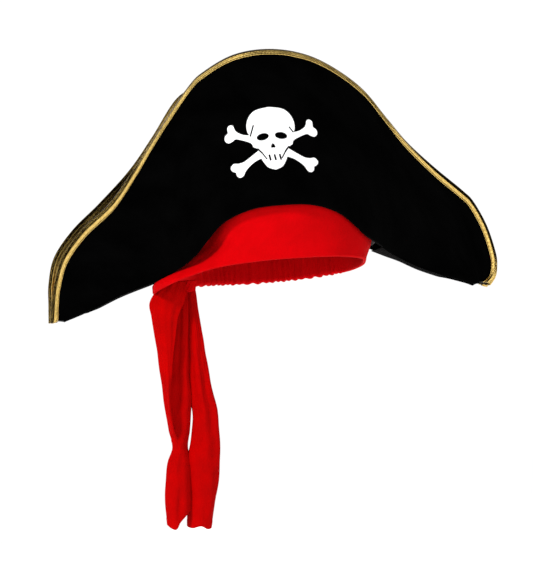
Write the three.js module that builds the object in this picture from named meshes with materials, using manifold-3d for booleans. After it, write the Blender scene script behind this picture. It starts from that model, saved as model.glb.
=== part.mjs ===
// A costume pirate hat: a foam-stiffened black brim turned up in front and behind and bound with gold tape,
// over a soft crown, with a red bandana sewn inside the head opening and two loose tails at the right.
// Millimetres. +Z is up, the hat faces -Y, and +X is the wearer's left. Right and left are the wearer's. The
// origin is the middle of the head opening, level with the bandana's lower edge.
import * as THREE from "three";
import { mergeVertices } from "three/addons/utils/BufferGeometryUtils.js";
import Module from "manifold-3d";

const wasm = await Module();
wasm.setup();

// ---- Driving dimensions ----
const HEAD_X = 93; // half width of the crown's wall at the head opening
const HEAD_Y = 91; // half length of it
const CLEARANCE = 0.3; // between pieces that touch
const FRONT = -1;
const BACK = 1;

// The brim panels' edges from their middle to a tip, as x and z. The hat has sagged a little: its two tips
// hang differently, and at the right the front panel stands lower than the back one.
const LEFT_TOP = [
  [0, 193], [28, 189.5], [54, 178.5], [86, 154.5], [108, 126], [125.5, 103.5],
  [149.5, 81], [176.5, 58.5], [187, 47.5], [198, 25], [204, 0], [204, -12], [201.5, -21.5], [195.5, -28.8],
];
const RIGHT_FRONT_TOP = [
  [0, 193], [-28, 189.5], [-53, 178], [-69, 165], [-102.5, 123.5], [-123.5, 96],
  [-146.5, 69], [-173.5, 48], [-192.5, 26], [-201.5, 3], [-205.5, -16], [-208, -32],
];
const RIGHT_BACK_TOP = [
  [0, 193], [-28, 192.5], [-50, 188.5], [-73, 177], [-99.5, 140.5], [-124, 109],
  [-155, 77.5], [-181.5, 53], [-200, 28.5], [-206.8, 4.6], [-208.4, -15], [-209.5, -31],
];
const LEFT_BOTTOM = [
  [0, 47], [28, 45.5], [52, 38], [68, 27], [79, 18.5], [95, 12], [106.5, 6.8],
  [117, 2.2], [135, -7.6], [162, -18.7], [184.5, -26],
];
const RIGHT_BOTTOM = [
  [0, 47], [-28, 45.5], [-52, 37.5], [-67, 24.5], [-79, 12.5], [-95, 4],
  [-122, -3.4], [-145, -10.6], [-164, -18.4], [-182.5, -25.3], [-198.5, -30.3],
];
const BACK_LIFT = 11.5; // how much higher the back panel's lower edge is where it leaves the head
const LIFTS_FROM = 35; // x at which that edge starts to rise above the front one
const HALF_SPAN = 206; // the tips' distance from the middle
const TOP_DEPTH = 58; // from the middle plane to the top of a panel, at its centre
const SEAM_DEPTH = 4.2; // from the middle plane to a panel where the two are sewn together
const FULLNESS = 5; // how far a panel bellies outwards
const LEAVES_HEAD = 78; // x at which a panel's lower edge leaves the head opening
const MEETS_SEAM = 122; // x at which the two lower edges come together
const COLUMNS = 36; // of facets along a panel
const ROWS = 5; // of facets across it

// Each panel is three layers, as distances from its middle surface.
const LINING = [-2.4, -1.6];
const FOAM = [-1.3, 1.1];
const FACE = [1.4, 2.4];
const PRINT = [2.7, 3.1];
const GUSSET_GAP = 1.1; // between the panels' lower edges and the strip sewn over them
const GUSSET_THICKNESS = 1;
const RIGHT_GUSSET_START = 0.745; // its inner end, as a share of the lower edge's length from the other tip
const LEFT_GUSSET_START = 0.77;
const GUSSET_END = 0.945; // its outer end
const GUSSET_COLUMNS = 9; // of facets along it
const TAPE_WIDTH = 8; // of the gold tape on each side of the edge
const TAPE_THICKNESS = 0.7;
const TAPE_FIT = 0.6; // between the tape and the panel it holds

const CROWN_HEIGHT = 105; // of the crown's wall
const CROWN_RISE = 11.7; // of its top above that
const CROWN_TAPERS_ABOVE = 40;
const CROWN_TOP_X = 80; // half width of the crown where its wall ends
const CROWN_TOP_Y = 72; // half length of it there
const CLOTH = 1.2; // thickness of the crown's cloth
const BAND_CLOTH = 1.6; // the bandana is folded double
const BAND_OVERLAP = 12; // how far the bandana goes up inside the crown

const FLARE = 24; // how far the bandana's lower edge stands out where the tails pull it
const FLARE_DROP = 12; // and how far it hangs down there
const FLARE_TOP = 2; // the height below which it flares
const FLARE_ANGLE = 0.5; // half width of the flare, in radians round the head

const TAIL_Y = 4; // of both tails' hinge line
const TAIL_HINGE_Z = -18.8;
const TAIL_RADIUS = 4; // half thickness of a folded tail

const lerp = THREE.MathUtils.lerp;
const clamp = THREE.MathUtils.clamp;
const vectors = (pairs) => pairs.map(([x, y]) => new THREE.Vector2(x, y));

// ---- Solids from points ----
function solid(points, triangles) {
  const geometry = new THREE.BufferGeometry().setFromPoints(points);
  let volume = 0;
  for (const [a, b, c] of triangles) volume += points[a].dot(points[b].clone().cross(points[c]));
  geometry.setIndex(triangles.flatMap(([a, b, c]) => (volume < 0 ? [a, c, b] : [a, b, c])));
  return geometry;
}

// A plate between two grids of points: place(i, j, outer) gives each one.
function plate(columns, rows, place) {
  const points = [];
  const index = (i, j, outer) => (i * (rows + 1) + j) * 2 + outer;
  for (let i = 0; i <= columns; i++)
    for (let j = 0; j <= rows; j++)
      points.push(place(i / columns, j / rows, 0), place(i / columns, j / rows, 1));
  const triangles = [];
  const quad = (a, b, c, d) => triangles.push([a, b, c], [a, c, d]);
  for (let i = 0; i < columns; i++)
    for (let j = 0; j < rows; j++) {
      quad(index(i, j, 1), index(i + 1, j, 1), index(i + 1, j + 1, 1), index(i, j + 1, 1));
      quad(index(i, j, 0), index(i, j + 1, 0), index(i + 1, j + 1, 0), index(i + 1, j, 0));
    }
  for (let i = 0; i < columns; i++) {
    quad(index(i, 0, 0), index(i + 1, 0, 0), index(i + 1, 0, 1), index(i, 0, 1));
    quad(index(i, rows, 1), index(i + 1, rows, 1), index(i + 1, rows, 0), index(i, rows, 0));
  }
  for (let j = 0; j < rows; j++) {
    quad(index(0, j, 1), index(0, j + 1, 1), index(0, j + 1, 0), index(0, j, 0));
    quad(index(columns, j, 0), index(columns, j + 1, 0), index(columns, j + 1, 1), index(columns, j, 1));
  }
  return solid(points, triangles);
}

// A skin over a row of rings that all have the outline's number of points, closed at both ends.
function skin(rings, outline) {
  const count = outline.length;
  const points = rings.flat();
  const caps = THREE.ShapeUtils.triangulateShape(outline, []);
  const last = (rings.length - 1) * count;
  const triangles = [];
  for (let r = 0; r + 1 < rings.length; r++)
    for (let k = 0; k < count; k++) {
      const [a, b] = [r * count + k, r * count + ((k + 1) % count)];
      triangles.push([a, b, b + count], [a, b + count, a + count]);
    }
  for (const [a, b, c] of caps) triangles.push([c, b, a], [last + a, last + b, last + c]);
  return solid(points, triangles);
}

// ---- The brim's middle surface ----
const edgeCurve = (right, left) => new THREE.SplineCurve(vectors([...right.toReversed(), ...left.slice(1)]));
const TOP = { [FRONT]: edgeCurve(RIGHT_FRONT_TOP, LEFT_TOP), [BACK]: edgeCurve(RIGHT_BACK_TOP, LEFT_TOP) };
const BOTTOM = edgeCurve(RIGHT_BOTTOM, LEFT_BOTTOM);

// How far a panel stands from the middle plane along its lower edge: round the crown, then in to the seam.
const BRIM_X = HEAD_X + CLEARANCE + 0.2 - LINING[0];
const BRIM_Y = HEAD_Y + CLEARANCE + 0.2 - LINING[0];
const ellipseDepth = (x) => BRIM_Y * Math.sqrt(1 - (x / BRIM_X) ** 2);
function bottomDepth(x) {
  if (x <= LEAVES_HEAD) return ellipseDepth(x);
  if (x >= MEETS_SEAM) return SEAM_DEPTH;
  const span = MEETS_SEAM - LEAVES_HEAD;
  const t = (x - LEAVES_HEAD) / span;
  const start = ellipseDepth(LEAVES_HEAD);
  const startSlope = -((BRIM_Y / BRIM_X) ** 2) * (LEAVES_HEAD / start) * span;
  const blend = t * t * (3 - 2 * t);
  return lerp(start, SEAM_DEPTH, blend) + startSlope * t * (1 - t) ** 2;
}
const topDepth = (x) => SEAM_DEPTH + (TOP_DEPTH - SEAM_DEPTH) * Math.max(0, 1 - (x / HALF_SPAN) ** 2) ** 1.2;

// The lower edges, u from the right tip to the left one. The back one rises where it leaves the head.
function lowerPoint(side, u) {
  const point = BOTTOM.getPointAt(clamp(u, 0, 1));
  const x = Math.abs(point.x);
  const nearHead = Math.min(1, (bottomDepth(x) - SEAM_DEPTH) / (bottomDepth(LEAVES_HEAD) - SEAM_DEPTH));
  const lift = BACK_LIFT * THREE.MathUtils.smoothstep(x, LIFTS_FROM, LEAVES_HEAD) * nearHead;
  if (side === BACK) point.y += lift;
  return point;
}

// v runs from the lower edge to the upper one.
function brimPoint(side, u, v) {
  const [top, bottom] = [TOP[side].getPointAt(clamp(u, 0, 1)), lowerPoint(side, u)];
  const [x, z] = [lerp(bottom.x, top.x, v), lerp(bottom.y, top.y, v)];
  const belly = FULLNESS * Math.sin(Math.PI * v) * Math.max(0, 1 - (x / HALF_SPAN) ** 2);
  const depth = lerp(bottomDepth(Math.abs(bottom.x)), topDepth(Math.abs(top.x)), v) + belly;
  return new THREE.Vector3(x, side * depth, z);
}

function brimFrame(side, u, v) {
  const step = 0.002;
  const [before, after] = [Math.max(0, u - step), Math.min(1, u + step)];
  const along = brimPoint(side, after, v).sub(brimPoint(side, before, v)).normalize();
  const across = brimPoint(side, u, v + step).sub(brimPoint(side, u, v - step)).normalize();
  const out = along.clone().cross(across).normalize();
  if (out.y * side < 0) out.negate();
  const outwards = across.addScaledVector(along, -across.dot(along)).normalize();
  return { origin: brimPoint(side, u, v), out, edge: outwards };
}

// v at the gold tape's inner edge.
function tapeStart(side, u) {
  return 1 - Math.min(0.7, TAPE_WIDTH / TOP[side].getPointAt(u).distanceTo(lowerPoint(side, u)));
}

// One layer of a panel. Its last row of facets is the part that the tape covers.
function brimLayer(side, [inner, outer]) {
  return plate(COLUMNS, ROWS, (u, b, isOuter) => {
    const row = b * ROWS;
    const v = row > ROWS - 1 ? 1 : (row / (ROWS - 1)) * tapeStart(side, u);
    const { origin, out } = brimFrame(side, u, v);
    return origin.addScaledVector(out, isOuter ? outer : inner);
  });
}

// Gold tape folded over the upper edge: a U that holds all three layers.
function edgeTape(side) {
  const inside = -LINING[0] + TAPE_FIT;
  const outside = inside + TAPE_THICKNESS;
  // Each corner: its distance from the middle surface, whether it is at the edge, how far beyond that it is.
  const corners = [
    [outside, 0, 0], [outside, 1, 0.8], [outside * 0.6, 1, 1.7], [-outside * 0.6, 1, 1.7], [-outside, 1, 0.8],
    [-outside, 0, 0], [-inside, 0, 0], [-inside, 1, TAPE_FIT], [inside, 1, TAPE_FIT], [inside, 0, 0],
  ];
  const outline = vectors(corners.map(([across, atEdge, beyond]) => [across, atEdge * TAPE_WIDTH + beyond]));
  const rings = [];
  for (let i = 0; i <= COLUMNS; i++) {
    const u = i / COLUMNS;
    const frames = [brimFrame(side, u, tapeStart(side, u)), brimFrame(side, u, 1)];
    rings.push(
      corners.map(([across, atEdge, beyond]) => {
        const { origin, out, edge } = frames[atEdge];
        return origin.clone().addScaledVector(out, across).addScaledVector(edge, beyond);
      }),
    );
  }
  return skin(rings, outline);
}

// The strip of black cloth over the seam under a wing, which widens to close the gap beside the crown.
// hand is -1 at the wearer's right.
function wingGusset(hand) {
  const outline = vectors([[-1, 0], [1, 0], [1, GUSSET_THICKNESS], [-1, GUSSET_THICKNESS]]);
  const rings = [];
  for (let i = 0; i <= GUSSET_COLUMNS; i++) {
    const reach = lerp(hand > 0 ? LEFT_GUSSET_START : RIGHT_GUSSET_START, GUSSET_END, i / GUSSET_COLUMNS);
    const u = hand > 0 ? reach : 1 - reach;
    const [front, back] = [lowerPoint(FRONT, u), lowerPoint(BACK, u)];
    const tangent = BOTTOM.getTangentAt(u);
    const down = new THREE.Vector3(tangent.y, 0, -tangent.x);
    const middle = new THREE.Vector3(front.x, 0, (front.y + back.y) / 2);
    const origin = middle.addScaledVector(down, GUSSET_GAP);
    const halfWidth = bottomDepth(Math.abs(front.x)) + FACE[1] + 0.4;
    const across = new THREE.Vector3(0, halfWidth, (back.y - front.y) / 2);
    rings.push(outline.map((q) => origin.clone().addScaledVector(down, q.y).addScaledVector(across, q.x)));
  }
  return skin(rings, outline);
}

// A thread tack that ties the two panels together near a tip.
function tipTack(hand) {
  const [u, v] = [0.5 + hand * 0.455, 0.62];
  const [front, back] = [brimPoint(FRONT, u, v), brimPoint(BACK, u, v)];
  const halfLength = Math.min(-front.y, back.y) + LINING[0] - 2 * CLEARANCE;
  const tack = new THREE.CylinderGeometry(1.2, 1.2, 2 * halfLength, 10);
  return tack.translate(front.x, 0, front.z);
}

// ---- The crown and the bandana, rings round the head ----
const taper = (z) => (Math.max(0, z - CROWN_TAPERS_ABOVE) / (CROWN_HEIGHT - CROWN_TAPERS_ABOVE)) ** 2;
const crownX = (z) => HEAD_X - (HEAD_X - CROWN_TOP_X) * taper(z);
const crownY = (z) => HEAD_Y - (HEAD_Y - CROWN_TOP_Y) * taper(z);
// The crown's lower edge is sewn behind the brim's arch, high in front and behind and low at the sides.
const crownEdge = (angle) => 18 + 37 * Math.sin(angle) ** 2;

// The flare at the wearer's right, where angle is pi: 0 away from it, 1 in its middle.
const flareShare = (angle) => Math.exp(-(((angle - Math.PI) / FLARE_ANGLE) ** 2));
const hemHeight = (angle) => -FLARE_DROP * flareShare(angle);

function ringPoint(angle, z, inset) {
  const lowness = clamp((FLARE_TOP - z) / (FLARE_TOP + FLARE_DROP), 0, 1);
  const out = FLARE * flareShare(angle) * lowness * lowness * (3 - 2 * lowness);
  const [x, y] = [Math.cos(angle), Math.sin(angle)];
  return new THREE.Vector3((crownX(z) - inset + out) * x, (crownY(z) - inset + out) * y, z);
}

// A stretch of wall from one angle to another, between two edges given as heights by angle.
function wall([from, to], low, high, [outerInset, innerInset], columns, rows) {
  return plate(columns, rows, (a, b, isOuter) => {
    const angle = lerp(from, to, a);
    return ringPoint(angle, lerp(low(angle), high(angle), b), isOuter ? outerInset : innerInset);
  });
}
const seamGap = CLEARANCE / 2 / HEAD_X;
const backHalf = [seamGap, Math.PI - seamGap];
const frontHalf = [-Math.PI + seamGap, -seamGap];
const wrapped = (angle) => (angle < 0 ? angle + 2 * Math.PI : angle);

const crownWall = (half) => wall(half, crownEdge, () => CROWN_HEIGHT, [0, CLOTH], 24, 6);
const BAND = [CLOTH + CLEARANCE + 0.2, CLOTH + CLEARANCE + 0.2 + BAND_CLOTH];

function bandanaHalf(half) {
  const turned = half.map(wrapped);
  if (turned[1] < turned[0]) turned.reverse();
  return wall(turned, hemHeight, (angle) => crownEdge(angle) + BAND_OVERLAP, BAND, 24, 7);
}

function backElastic() {
  const inset = BAND[1] + CLEARANCE;
  const reach = 0.9; // radians each side of the middle of the back
  return wall([Math.PI / 2 - reach, Math.PI / 2 + reach], () => 4, () => 16, [inset, inset + 1], 16, 1);
}

// The crown's top is domed with a flat middle, and stretched from a round profile to the crown's oval.
function crownTop() {
  const rim = crownX(CROWN_HEIGHT);
  const base = CROWN_HEIGHT + CLEARANCE;
  const under = [[0, CROWN_RISE], [40, CROWN_RISE], [61, CROWN_RISE * 0.7], [rim, 0]];
  const over = under.map(([r, z]) => [r, z + CLOTH]).reverse();
  const lathe = new THREE.LatheGeometry(vectors([...under, ...over]), 32);
  return lathe.rotateX(Math.PI / 2).scale(1, crownY(CROWN_HEIGHT) / rim, 1).translate(0, 0, base);
}

// ---- The tails ----
// A tail's outline: heights, each with its edges' x at the wearer's right and left.
const OUTER_TAIL = [
  [-24, -117.5, -83.5], [-88, -114, -88.5], [-148, -110, -93], [-196, -117, -97], [-226, -113, -100],
];
const INNER_TAIL = [
  [-24, -81, -73], [-88, -86.1, -72], [-148, -90.9, -67], [-190, -94.3, -67], [-224, -97, -75],
];

// Its top is a half round about the hinge line, so it turns clear of the gather above it.
function tail(stations) {
  const [[, right, left]] = stations;
  const outline = vectors([
    [-1, -0.5], [-0.7, -1], [0.7, -1], [1, -0.5], [1, 0.5], [0.7, 1], [-0.7, 1], [-1, 0.5],
  ]);
  const ring = (z, x0, x1, half) =>
    outline.map((p) => new THREE.Vector3(lerp(x0, x1, (p.x + 1) / 2), TAIL_Y + half * p.y, z));
  const rounded = [80, 60, 35, 0].map((degrees) => {
    const turn = THREE.MathUtils.degToRad(degrees);
    const z = TAIL_HINGE_Z + TAIL_RADIUS * Math.sin(turn);
    return ring(z, right + 2, left - 2, TAIL_RADIUS * Math.cos(turn));
  });
  return skin([...rounded, ...stations.map(([z, x0, x1]) => ring(z, x0, x1, TAIL_RADIUS))], outline);
}

// The pleated cloth at the head of the tails, sewn inside the bandana's flare.
function tailGather() {
  const stations = [[-1, -87], [-6, -92], [-10, -101], [-13.8, -106]];
  const inner = -73;
  const halfWidths = [7, 9, 10, 10];
  const outline = vectors([[0, -1], [1, -0.6], [1, 0.6], [0, 1]]);
  const rings = stations.map(([z, outer], i) =>
    outline.map((p) => new THREE.Vector3(lerp(inner, outer, p.x), TAIL_Y + halfWidths[i] * p.y, z)),
  );
  return skin(rings, outline);
}

// ---- The printed skull and crossbones ----
const PRINT_X = -3; // the print sits a little off the middle
const PRINT_Z = 107;

// Half of its outline, down from the top of the skull to the chin, as smooth runs that meet at corners.
const PRINT_TOP = [0, 29.9];
const HALF_OUTLINE = [
  [[10.6, 28], [16.3, 24.4], [20, 18.5], [21.3, 12.4], [20.8, 7.2], [19.4, 4.7]],
  [[24.5, 5.6], [29.6, 8.6], [31.6, 11.4], [32.6, 15], [35, 16.1], [37.6, 14], [37.7, 8.9]],
  [
    [40.6, 6], [40.8, 2], [38.2, -0.3], [34.9, 0.6], [32, 2.4], [28.5, 1.7], [21, -1.5], [18.3, -3.6],
    [17.4, -6.5],
  ],
  [[12.6, -9]],
  [[13.4, -10.3]],
  [[19.4, -14.5], [26.4, -19], [31.4, -20.2], [35.6, -19.9], [38.5, -23.2], [37.4, -26.4], [34.4, -28]],
  [[33.8, -31.2], [31.4, -33], [28.3, -31.7], [25.7, -27.3], [21.7, -23.3], [16.7, -19.8], [11.6, -17.6]],
  [[9.2, -22.4], [6, -26.5], [0, -28.9]],
];
const NOSE = [
  [0, -4.3], [1.3, -5.6], [2.1, -7.6], [1.6, -8.8], [0, -8.5], [-1.6, -8.8], [-2.1, -7.6], [-1.3, -5.6],
];
const TEETH = [-4.2, 0.4, 5];
const TEMPLE_LINES = [[[-18.8, 3.9], [-15.2, 13.4]], [[19.2, 5], [16.4, 9.6]]];

function printOutline() {
  const starts = [PRINT_TOP, ...HALF_OUTLINE.map((run) => run.at(-1))];
  const shape = new THREE.Shape().moveTo(...PRINT_TOP);
  for (const run of HALF_OUTLINE) shape.splineThru(vectors(run));
  for (const i of HALF_OUTLINE.keys().toArray().reverse()) {
    const back = [...HALF_OUTLINE[i].slice(0, -1).reverse(), starts[i]];
    shape.splineThru(vectors(back.map(([x, y]) => [-x, y])));
  }
  return shape;
}

function oval(x, y, rx, ry, turn) {
  return new THREE.Shape().absellipse(x, y, rx, ry, 0, 2 * Math.PI, false, turn);
}

// A round-ended line between two points.
function line([x0, y0], [x1, y1], width) {
  const heading = Math.atan2(y1 - y0, x1 - x0);
  return new THREE.Shape()
    .absarc(x0, y0, width / 2, heading + Math.PI / 2, heading - Math.PI / 2, false)
    .absarc(x1, y1, width / 2, heading - Math.PI / 2, heading + Math.PI / 2, false);
}

function manifoldOf(geometry) {
  const bare = geometry.index ? geometry.toNonIndexed() : geometry;
  const positions = new THREE.BufferGeometry().setAttribute("position", bare.getAttribute("position"));
  const merged = mergeVertices(positions, 1e-4);
  const vertProperties = merged.attributes.position.array;
  const triVerts = new Uint32Array(merged.index.array);
  return new wasm.Manifold(new wasm.Mesh({ numProp: 3, vertProperties, triVerts }));
}

// A shape drawn in x and z, as a block that runs through the front of the hat.
function block(shape, curveSegments) {
  const [near, far] = [-120, -50];
  const drawn = new THREE.ExtrudeGeometry(shape, { depth: far - near, bevelEnabled: false, curveSegments });
  return manifoldOf(drawn.rotateX(Math.PI / 2).translate(PRINT_X, far, PRINT_Z));
}

function skullPrint() {
  const cuts = [new THREE.Shape(vectors(NOSE))];
  for (const x of TEETH) cuts.push(line([x, -15.4], [x + 0.6, -19.6], 1.7));
  for (const [from, to] of TEMPLE_LINES) cuts.push(line(from, to, 1.3));
  for (const hand of [-1, 1]) {
    cuts.push(oval(hand * 8.1, 2.2, 5.5, 3.3, hand * -0.2));
    cuts.push(line([hand * 13.6, -8.6], [hand * 10.2, -12.8], 1.5));
    cuts.push(line([hand * 10.2, -12.8], [hand * 6.8, -18.4], 1.2));
  }
  const drawn = cuts.reduce((rest, shape) => rest.subtract(block(shape, 7)), block(printOutline(), 2));
  const mesh = drawn.intersect(manifoldOf(brimLayer(FRONT, PRINT))).getMesh();
  return new THREE.BufferGeometry()
    .setAttribute("position", new THREE.BufferAttribute(mesh.vertProperties, 3))
    .setIndex(new THREE.BufferAttribute(mesh.triVerts, 1));
}

// ---- Materials and assembly ----
function material(color, roughness, metalness = 0) {
  return new THREE.MeshStandardMaterial({ color, roughness, metalness });
}
const blackVelour = material(0x060606, 0.95);
const blackLining = material(0x0d0d0e, 0.9);
const blackFoam = material(0x18181a, 0.95);
const goldTape = material(0xc79a2b, 0.3, 1);
const redCloth = material(0xe0040c, 0.85);
const whitePrint = material(0xfafafa, 0.5);
const blackElastic = material(0x101012, 0.8);
const thread = material(0x0a0a0a, 0.7);

const hat = new THREE.Group();
function add(name, geometry, look) {
  const mesh = new THREE.Mesh(geometry, look);
  mesh.name = name;
  hat.add(mesh);
}

for (const [name, side] of [["front", FRONT], ["back", BACK]]) {
  add(`${name}_brim_face`, brimLayer(side, FACE), blackVelour);
  add(`${name}_brim_foam`, brimLayer(side, FOAM), blackFoam);
  add(`${name}_brim_lining`, brimLayer(side, LINING), blackLining);
  add(`${name}_edge_tape`, edgeTape(side), goldTape);
}
for (const [name, hand] of [["right", -1], ["left", 1]]) {
  add(`${name}_wing_gusset`, wingGusset(hand), blackVelour);
  add(`${name}_tip_tack`, tipTack(hand), thread);
}
add("crown_front", crownWall(frontHalf), blackLining);
add("crown_back", crownWall(backHalf), blackLining);
add("crown_top", crownTop(), blackLining);
add("bandana_front", bandanaHalf(frontHalf), redCloth);
add("bandana_back", bandanaHalf(backHalf), redCloth);
add("back_elastic", backElastic(), blackElastic);
add("tail_gather", tailGather(), redCloth);
add("outer_tail", tail(OUTER_TAIL), redCloth);
add("inner_tail", tail(INNER_TAIL), redCloth);
add("skull_print", skullPrint(), whitePrint);

export default hat;
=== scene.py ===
"""A costume pirate hat: a foam-stiffened velour brim bound with gold tape, a soft crown, a red bandana
sewn in the head opening, and two loose cloth tails at the wearer's right. Metres, except that lists of
points are in millimetres; +Z is up, the hat faces -Y, and +X is the wearer's left."""
import math

import bpy
import numpy as np
from mathutils import Matrix, Vector
from mathutils.bvhtree import BVHTree
from mathutils.geometry import delaunay_2d_cdt


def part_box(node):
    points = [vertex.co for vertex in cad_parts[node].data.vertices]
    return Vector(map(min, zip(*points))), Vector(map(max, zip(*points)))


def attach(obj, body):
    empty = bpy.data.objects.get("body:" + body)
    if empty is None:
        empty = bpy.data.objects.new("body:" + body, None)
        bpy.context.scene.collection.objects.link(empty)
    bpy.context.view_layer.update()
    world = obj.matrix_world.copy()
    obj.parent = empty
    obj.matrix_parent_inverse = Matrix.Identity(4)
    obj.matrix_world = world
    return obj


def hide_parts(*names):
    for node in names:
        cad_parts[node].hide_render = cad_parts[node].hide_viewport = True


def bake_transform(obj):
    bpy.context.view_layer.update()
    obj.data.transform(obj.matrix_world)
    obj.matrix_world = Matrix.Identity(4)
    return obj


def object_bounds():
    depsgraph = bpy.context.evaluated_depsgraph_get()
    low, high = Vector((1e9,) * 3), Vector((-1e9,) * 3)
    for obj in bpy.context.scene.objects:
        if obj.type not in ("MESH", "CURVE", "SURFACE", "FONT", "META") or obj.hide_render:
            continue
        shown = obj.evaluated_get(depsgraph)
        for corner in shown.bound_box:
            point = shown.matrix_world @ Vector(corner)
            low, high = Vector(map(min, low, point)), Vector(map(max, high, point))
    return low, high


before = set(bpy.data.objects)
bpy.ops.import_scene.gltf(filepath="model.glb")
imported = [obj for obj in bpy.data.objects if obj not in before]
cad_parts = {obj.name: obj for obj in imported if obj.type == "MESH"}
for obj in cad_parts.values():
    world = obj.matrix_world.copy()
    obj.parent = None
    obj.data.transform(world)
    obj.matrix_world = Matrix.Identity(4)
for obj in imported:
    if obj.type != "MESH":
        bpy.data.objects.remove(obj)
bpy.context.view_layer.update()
MM = 0.001
FRONT, BACK = -1, 1

# ---- Camera ----
VIEW_AZIMUTH, VIEW_ELEVATION, VIEW_ROLL = (math.radians(a) for a in (-6.5, -6.5, 5.3))
VIEW_DISTANCE = 1.7
LENS = 118.6
AIM_ACROSS, AIM_UP = -0.0090, -0.0088  # where it looks, from the origin, in the picture's plane


def make_camera():
    level = math.cos(VIEW_ELEVATION)
    back = Vector((math.sin(VIEW_AZIMUTH) * level, -math.cos(VIEW_AZIMUTH) * level, math.sin(VIEW_ELEVATION)))
    right = Vector((math.cos(VIEW_AZIMUTH), math.sin(VIEW_AZIMUTH), 0))
    up = back.cross(right)
    across = right * math.cos(VIEW_ROLL) - up * math.sin(VIEW_ROLL)
    upwards = right * math.sin(VIEW_ROLL) + up * math.cos(VIEW_ROLL)
    camera = bpy.data.objects.new("camera", bpy.data.cameras.new("camera"))
    camera.data.lens = LENS
    aim = across * AIM_ACROSS + upwards * AIM_UP
    turn = Matrix((across, upwards, back)).transposed().to_4x4()
    camera.matrix_world = Matrix.Translation(aim + back * VIEW_DISTANCE) @ turn
    bpy.context.scene.collection.objects.link(camera)
    bpy.context.scene.camera = camera


make_camera()


# ---- Curves and grids ----
def smoothstep(t):
    t = np.clip(t, 0, 1)
    return t * t * (3 - 2 * t)


def spline(points, steps):
    """A smooth curve through points, with that many steps from each to the next."""
    points = np.array(points, float)
    padded = np.vstack([points[:1], points, points[-1:]])
    t = np.linspace(0, 1, steps, endpoint=False)[:, None]
    runs = []
    for p0, p1, p2, p3 in zip(padded, padded[1:], padded[2:], padded[3:]):
        start, end = (p2 - p0) / 2, (p3 - p1) / 2
        cubic = 2 * p1 - 2 * p2 + start + end
        square = 3 * p2 - 3 * p1 - 2 * start - end
        runs.append(cubic * t**3 + square * t**2 + start * t + p1)
    return np.vstack(runs + [points[-1:]])


def between(t, knots, values):
    """Smooth values at t, where values (first axis) belong to rising knots."""
    knots, values = np.array(knots, float), np.array(values, float)
    slopes = np.gradient(values, knots, axis=0)
    i = np.clip(np.searchsorted(knots, t, side="right") - 1, 0, len(knots) - 2)
    width = knots[i + 1] - knots[i]
    s = np.clip((t - knots[i]) / width, 0, 1)
    shape = s.shape + (1,) * (values.ndim - 1)
    s, width = s.reshape(shape), width.reshape(shape)
    rise = s * s * (3 - 2 * s)
    bend = width * (s * (1 - s) ** 2 * slopes[i] - s * s * (1 - s) * slopes[i + 1])
    return values[i] * (1 - rise) + values[i + 1] * rise + bend


def waves(a, b, *terms):
    """A sum of sines over two coordinates; a term is (height, turn for each a, for each b, first angle)."""
    return sum(height * np.sin(per_a * a + per_b * b + first) for height, per_a, per_b, first in terms)


def unit(vectors):
    return vectors / np.maximum(np.linalg.norm(vectors, axis=-1, keepdims=True), 1e-12)


def grid_normals(points):
    return unit(np.cross(np.gradient(points, axis=0), np.gradient(points, axis=1)))


def joined(*parts):
    """Points, or UV places, whose coordinates are arrays that broadcast together."""
    return np.stack(np.broadcast_arrays(*parts), -1)


def run_lengths(points, axis):
    """Distances along a grid's lines, from its first row or column."""
    steps = np.linalg.norm(np.diff(points, axis=axis), axis=-1)
    first = np.zeros_like(np.take(steps, [0], axis=axis))
    return np.concatenate([first, np.cumsum(steps, axis=axis)], axis=axis)


# ---- Meshes ----
SHARP_ANGLE = math.radians(55)


def make_object(name, points, faces, uv, material, replaces, slot, body="hat"):
    """A piece from points, faces turned outwards, and a UV place in metres for each point."""
    points = np.asarray(points, float).reshape(-1, 3)
    mesh = bpy.data.meshes.new(name)
    mesh.from_pydata(points.tolist(), [], faces)
    mesh.update()
    mesh.calc_loop_triangles()
    corners = np.array([t.vertices for t in mesh.loop_triangles])
    a, b, c = points[corners[:, 0]], points[corners[:, 1]], points[corners[:, 2]]
    if np.einsum("ij,ij->i", a, np.cross(b, c)).sum() < 0:
        mesh.flip_normals()
    layer = mesh.uv_layers.new(name="cloth")
    order = np.zeros(len(mesh.loops), np.int32)
    mesh.loops.foreach_get("vertex_index", order)
    layer.data.foreach_set("uv", np.asarray(uv, np.float32).reshape(-1, 2)[order].ravel())
    mesh.polygons.foreach_set("use_smooth", [True] * len(mesh.polygons))
    mesh.set_sharp_from_angle(angle=SHARP_ANGLE)
    mesh.materials.append(material)
    piece = bpy.data.objects.new(name, mesh)
    bpy.context.scene.collection.objects.link(piece)
    if body:
        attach(piece, body)
    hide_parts(*replaces)
    return piece


def ring_quads(at):
    """The faces between each closed ring of point numbers and the next."""
    beside = np.roll(at, -1, axis=1)
    return np.stack([at[:-1], beside[:-1], beside[1:], at[1:]], -1).reshape(-1, 4).tolist()


def loft(name, rings, uv, material, **facts):
    """A skin over closed rings of points, (ring, point, 3), with flat ends."""
    count, size = rings.shape[:2]
    at = np.arange(count * size).reshape(count, size)
    faces = ring_quads(at) + [at[0][::-1].tolist(), at[-1].tolist()]
    return make_object(name, rings, faces, uv, material, **facts)


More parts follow.
